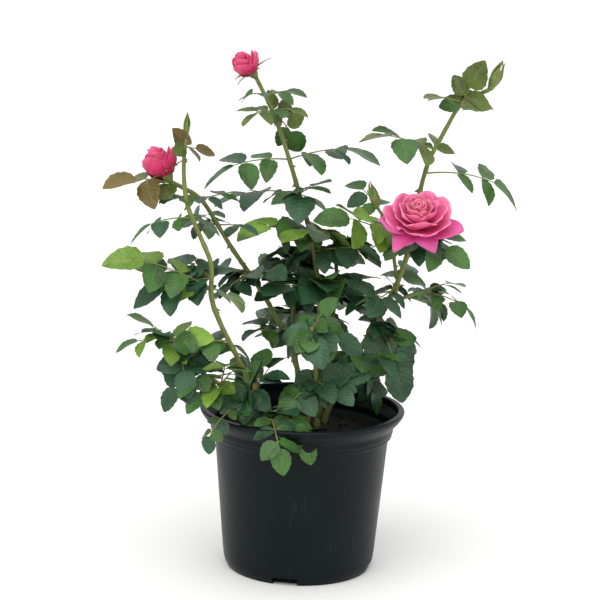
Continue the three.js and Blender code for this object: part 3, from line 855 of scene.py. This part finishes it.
# Petals of the open bloom, from the heart outwards: bowls that rise and roll out at the rim. Lengths
# are in mm and leans in degrees from the bloom's axis, at the petal's foot and at its tip.
CORE = {"length": 17, "half": 6, "lean": (6, -30), "ruffle": 0.06, "wrap": 0.5, "start": 1.0, "lift": 7}
HEART = {"length": 20, "half": 8, "lean": (16, -18), "roll": 10, "ruffle": 0.08, "wrap": 0.55,
         "start": 1.6, "lift": 6.5}
FOLDS = {"length": 23, "half": 10, "lean": (28, -10), "roll": 22, "ruffle": 0.09, "wrap": 0.6,
         "start": 2.0, "lift": 5.5}
INNER = {"length": 27, "half": 13, "lean": (44, -4), "roll": 24, "ruffle": 0.07, "wrap": 0.7,
         "start": 2.4, "lift": 4}
CUP = {"length": 31, "half": 17, "lean": (60, 2), "roll": 26, "ruffle": 0.05, "wrap": 0.85,
       "start": 3, "lift": 2}
BOWL = {"length": 35, "half": 20, "lean": (78, 6), "roll": 24, "ruffle": 0.05, "wrap": 0.9,
        "start": 3.5, "lift": 1, "point": 0.0, "drop": 0.14, "shoulder": 0.7}
WIDE = {"length": 37, "half": 22, "lean": (92, 26), "roll": 30, "ruffle": 0.06, "wrap": 1.0,
        "start": 4, "point": 0.0, "drop": 0.14, "shoulder": 0.7}
SIDE_GUARD = {"length": 41, "half": 20, "lean": (90, 66), "roll": 26, "ruffle": 0.07, "wrap": 1.5,
              "start": 4, "point": 0.06, "shoulder": 0.66, "drop": 0.16}
HUNG_GUARD = {"length": 35, "half": 16, "lean": (80, 136), "ruffle": 0.06, "wrap": 1.4,
              "start": 6, "point": 0.12, "shoulder": 0.6, "foot": 0.2, "drop": 0.24}
# Where the four guard petals stand, in degrees round the bloom's axis from its right; -90 is below.
HUNG_TURNS = (-128, -66)
SIDE_TURNS = (-172, -14)


def make_open_bloom():
    """The open bloom in three pieces: its guard petals, its bowl, and its folded heart."""
    chance = random.Random("bloom_open")
    foot, _ = head_frame("bloom_open", "shoot_open_bloom")
    goal = foot @ Matrix.Translation((0, 0, 6 * MM))

    def guards(mesh, uv_layer):
        for turn in HUNG_TURNS:
            add_petal(mesh, uv_layer, goal, math.radians(turn), HUNG_GUARD, chance)
        for turn in SIDE_TURNS:
            add_petal(mesh, uv_layer, goal, math.radians(turn), SIDE_GUARD, chance)

    def bowl(mesh, uv_layer):
        whorl(mesh, uv_layer, goal, 5, 0.5, WIDE, chance)
        whorl(mesh, uv_layer, goal, 5, 1.1, BOWL, chance)
        whorl(mesh, uv_layer, goal, 6, 0.2, CUP, chance)

    def heart(mesh, uv_layer):
        whorl(mesh, uv_layer, goal, 7, 0.6, INNER, chance)
        whorl(mesh, uv_layer, goal, 7, 0.1, FOLDS, chance)
        whorl(mesh, uv_layer, goal, 5, 0.4, HEART, chance)
        whorl(mesh, uv_layer, goal, 3, 0.7, CORE, chance)

    petal_piece("bloom_open_guard_petals", PETAL_OUTER, [], guards)
    petal_piece("bloom_open_petals", PETAL_FACE, ["bloom_open"], bowl)
    petal_piece("bloom_open_heart", PETAL_HEART, [], heart)


def sepals(name, goal, length, half, lean, start, chance, roll=0):
    """Five narrow green sepals under a flower or round a bud; sizes in mm."""
    def build(mesh, uv_layer):
        spec = {"length": length, "half": half, "lean": lean, "roll": roll, "ruffle": 0.02, "wrap": 0.9,
                "start": start, "point": 0.0, "curl": 0.0, "tapered": True}
        whorl(mesh, uv_layer, goal, 5, chance.uniform(0, 6), spec, chance)

    petal_piece(name, SEPAL, [], build, 0.5)


# The round green hip under a flower, as (radius, height) in mm.
HIP = [(0, -1.5), (1.7, -1.2), (2.4, 0.5), (3.9, 3), (4.3, 5), (3.8, 7), (2.6, 8.2), (0, 8.5)]


def make_open_calyx():
    """The hip and the turned-down sepals under the open bloom."""
    goal, _ = head_frame("bloom_open", "shoot_open_bloom")
    spun_form("bloom_open_hip", goal @ Matrix.Scale(1.05, 4), HIP, ribs=0.04)
    foot = goal @ Matrix.Translation((0, 0, 6.5 * MM))
    sepals("bloom_open_sepals", foot, 24, 3.6, (112, 160), 3.2, random.Random("bloom_open_sepals"))


def make_half_open(name, stem, apart):
    """A half-open flower: furled petals round a tight core, and one petal that has come away."""
    chance = random.Random(name)
    goal, height = head_frame(name, stem)
    size = height / (36 * MM)
    up = goal @ Matrix.Translation((0, 0, 6 * size * MM))

    def spec(length, half, lean, roll, start, lift=0):
        return {"length": length * size, "half": half * size, "lean": lean, "roll": roll, "ruffle": 0.03,
                "wrap": 0.8, "start": start * size, "lift": lift * size, "curl": 0.03, "foot": 0.45,
                "point": 0.02}

    def build(mesh, uv_layer):
        whorl(mesh, uv_layer, up, 3, 0.4, spec(26, 9, (14, -24), 0, 1.2, 2), chance)
        whorl(mesh, uv_layer, up, 3, 1.1, spec(27, 13, (30, -26), 6, 1.6, 1), chance)
        whorl(mesh, uv_layer, up, 3, 0.2, spec(27, 16, (46, -24), 12, 2.0), chance)
        whorl(mesh, uv_layer, up, 3, 2.0, spec(26, 17, (62, -18), 26, 2.4), chance)
        add_petal(mesh, uv_layer, up, apart, spec(27, 11, (64, 4), 20, 2.4), chance)

    petal_piece(name + "_petals", PETAL_FURLED, [name], build)
    spun_form(name + "_hip", goal @ Matrix.Scale(1.25 * size, 4), HIP, ribs=0.04)
    foot = goal @ Matrix.Translation((0, 0, 8 * size * MM))
    sepals(name + "_sepals", foot, 22 * size, 2.8 * size, (72, 112), 3.2, chance)


# A bud 24 mm long with its hip, as (radius, height) in mm.
BUD = [(0, -1), (1.6, -0.8), (2.5, 0.8), (3.2, 2.6), (3.0, 4.2), (4.0, 6), (4.9, 8.6), (4.8, 11),
       (3.9, 14), (2.4, 17), (1.1, 20), (0.4, 22.4), (0, 23)]


def make_green_bud(name, stem, slender):
    """A tight green bud: a pointed body in five sepals that end in long tips."""
    chance = random.Random(name)
    goal, height = head_frame(name, stem)
    size = height / (24 * MM)
    profile = [(radius * size * slender, level * size) for radius, level in BUD]
    spun_form(name + "_body", goal, profile, [name], ribs=0.05)
    foot = goal @ Matrix.Translation((0, 0, 4.2 * size * MM))
    across = size * slender
    sepals(name + "_sepals", foot, 25 * size, 3.9 * across, (16, -38), 3.1 * across, chance, roll=34)


make_open_bloom()
make_half_open("bloom_left", "cane_left_bloom", -0.45)
make_half_open("bloom_top", "cane_centre", -0.35)
make_open_calyx()
make_green_bud("bud_side", "shoot_side_bud", 1.15)
make_green_bud("bud_right", "cane_right", 1.1)
make_green_bud("bud_left", "cane_left", 0.7)


# ---- pot and compost ----------------------------------------------------------------------
# The pot's wall from the middle of its foot, up the outside, over the lip and down the inside, in mm.
POT_PROFILE = [
    (0, 0), (79, 0), (82, 6), (83.6, 12.4), (83.4, 13.2), (84.4, 20), (95.6, 147.5), (96.2, 148),
    (98.9, 150.4), (99.4, 151.2), (99.6, 154.4), (100.6, 156), (101, 162), (108, 169.5), (111.6, 174.6),
    (111.7, 176.2), (112.5, 176.9), (112.5, 178.4), (111, 180), (106.4, 180), (105.4, 178.8), (105.4, 171.6),
    (98.6, 163), (98, 155), (93.6, 146.5), (82.4, 20), (77, 3), (0, 3),
]
POT_STEPS = 128
NOTCHES = 4
NOTCH_FIRST = math.radians(-100)
NOTCH_SIZE = (16 * MM, 27 * MM, 16 * MM)
# Compost: its rings and its depth in mm, and the loose crumbs on it.
RINGS = [*range(0, 90, 6), 89, 93]
COMPOST_DEEP = 9
CRUMBS = 420


def make_pot():
    """The pot's wall, spun from its rounded profile, with notches cut in its foot."""
    mesh = outline_of(POT_PROFILE)
    bmesh.ops.bevel(mesh, geom=mesh.verts[1:-1], affect="VERTICES", offset=0.9 * MM, segments=3,
                    profile=0.5, material=-1, clamp_overlap=True)
    spin_closed(mesh, POT_STEPS)
    pot = finish_piece("pot_shell", mesh, POT, ["pot"])
    cutters = bmesh.new()
    for k in range(NOTCHES):
        turn = Matrix.Rotation(NOTCH_FIRST + FULL_TURN * k / NOTCHES, 4, "Z")
        goal = turn @ Matrix.Translation((79 * MM, 0, 0)) @ Matrix.Diagonal((*NOTCH_SIZE, 1))
        made = bmesh.ops.create_cube(cutters, size=1.0, matrix=goal)
        edges = list(dict.fromkeys(edge for vert in made["verts"] for edge in vert.link_edges))
        bmesh.ops.bevel(cutters, geom=edges, affect="EDGES", offset=1.2 * MM, segments=3, profile=0.5,
                        material=-1)
    data = bpy.data.meshes.new("notch_cutter")
    cutters.to_mesh(data)
    cutters.free()
    cutter = bpy.data.objects.new("notch_cutter", data)
    bpy.context.scene.collection.objects.link(cutter)
    cut = pot.modifiers.new("notches", "BOOLEAN")
    cut.object = cutter
    cut.solver = "EXACT"
    bpy.context.view_layer.update()
    final = bpy.data.meshes.new_from_object(pot.evaluated_get(bpy.context.evaluated_depsgraph_get()))
    pot.modifiers.clear()
    pot.data = final
    bpy.data.objects.remove(cutter)
    final.set_sharp_from_angle(angle=math.radians(38))


def make_compost():
    """A lumpy bed of compost at the CAD soil's level, with loose crumbs on it."""
    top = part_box("soil")[1].z
    level = top / MM
    chance = random.Random("compost")
    deep = [(92, level - COMPOST_DEEP), (0, level - COMPOST_DEEP)]
    mesh = outline_of([(radius, level) for radius in RINGS] + deep)
    spin_closed(mesh, 96)
    for vert in mesh.verts:
        x, y, z = vert.co
        if z > top - 4 * MM and vert.co.xy.length < 0.0925:
            lump = math.sin(x * 210 + 1) * math.cos(y * 190) + 0.6 * math.sin((x + y) * 470)
            vert.co.z += (lump - 0.8) * 0.9 * MM + chance.uniform(-1.2, 0.6) * MM
    finish_piece("compost", mesh, PEAT, ["soil"])
    crumbs = bmesh.new()
    for _ in range(CRUMBS):
        spot = chance.uniform(0, FULL_TURN)
        radius = 90 * MM * math.sqrt(chance.random())
        size = chance.uniform(0.9, 3.0) * MM
        goal = Matrix.Translation((radius * math.cos(spot), radius * math.sin(spot), top - 0.6 * MM))
        goal = goal @ Matrix.Rotation(chance.uniform(0, 3), 4, "Z")
        goal = goal @ Matrix.Diagonal((size, size * 0.8, size * 0.6, 1))
        made = bmesh.ops.create_icosphere(crumbs, subdivisions=1, radius=1.0)
        for vert in made["verts"]:
            vert.co *= chance.uniform(0.75, 1.2)
        bmesh.ops.transform(crumbs, matrix=goal, verts=made["verts"])
    finish_piece("compost_crumbs", crumbs, PEAT, smooth=False)


make_pot()
make_compost()


# ---- floor --------------------------------------------------------------------------------
def add_floor():
    """A pale, matt paper floor that runs far past the plant."""
    mesh = bmesh.new()
    bmesh.ops.create_grid(mesh, x_segments=1, y_segments=1, size=60.0)
    data = bpy.data.meshes.new("studio_floor")
    mesh.to_mesh(data)
    mesh.free()
    paper, tree, shader, _ = material("white_paper_floor")
    plug(tree, shader, {"Base Color": srgb(0xF4F4F2), "Roughness": 0.9})
    data.materials.append(paper)
    floor = bpy.data.objects.new("studio_floor", data)
    bpy.context.scene.collection.objects.link(floor)


def set_world():
    """Even white light from all round."""
    world = bpy.data.worlds.new("studio_world")
    bpy.context.scene.world = world
    world.use_nodes = True
    background = world.node_tree.nodes["Background"]
    plug(world.node_tree, background, {"Color": srgb(0xFFFFFF), "Strength": 0.5})


add_floor()
set_world()
bpy.context.scene.view_settings.view_transform = "Standard"
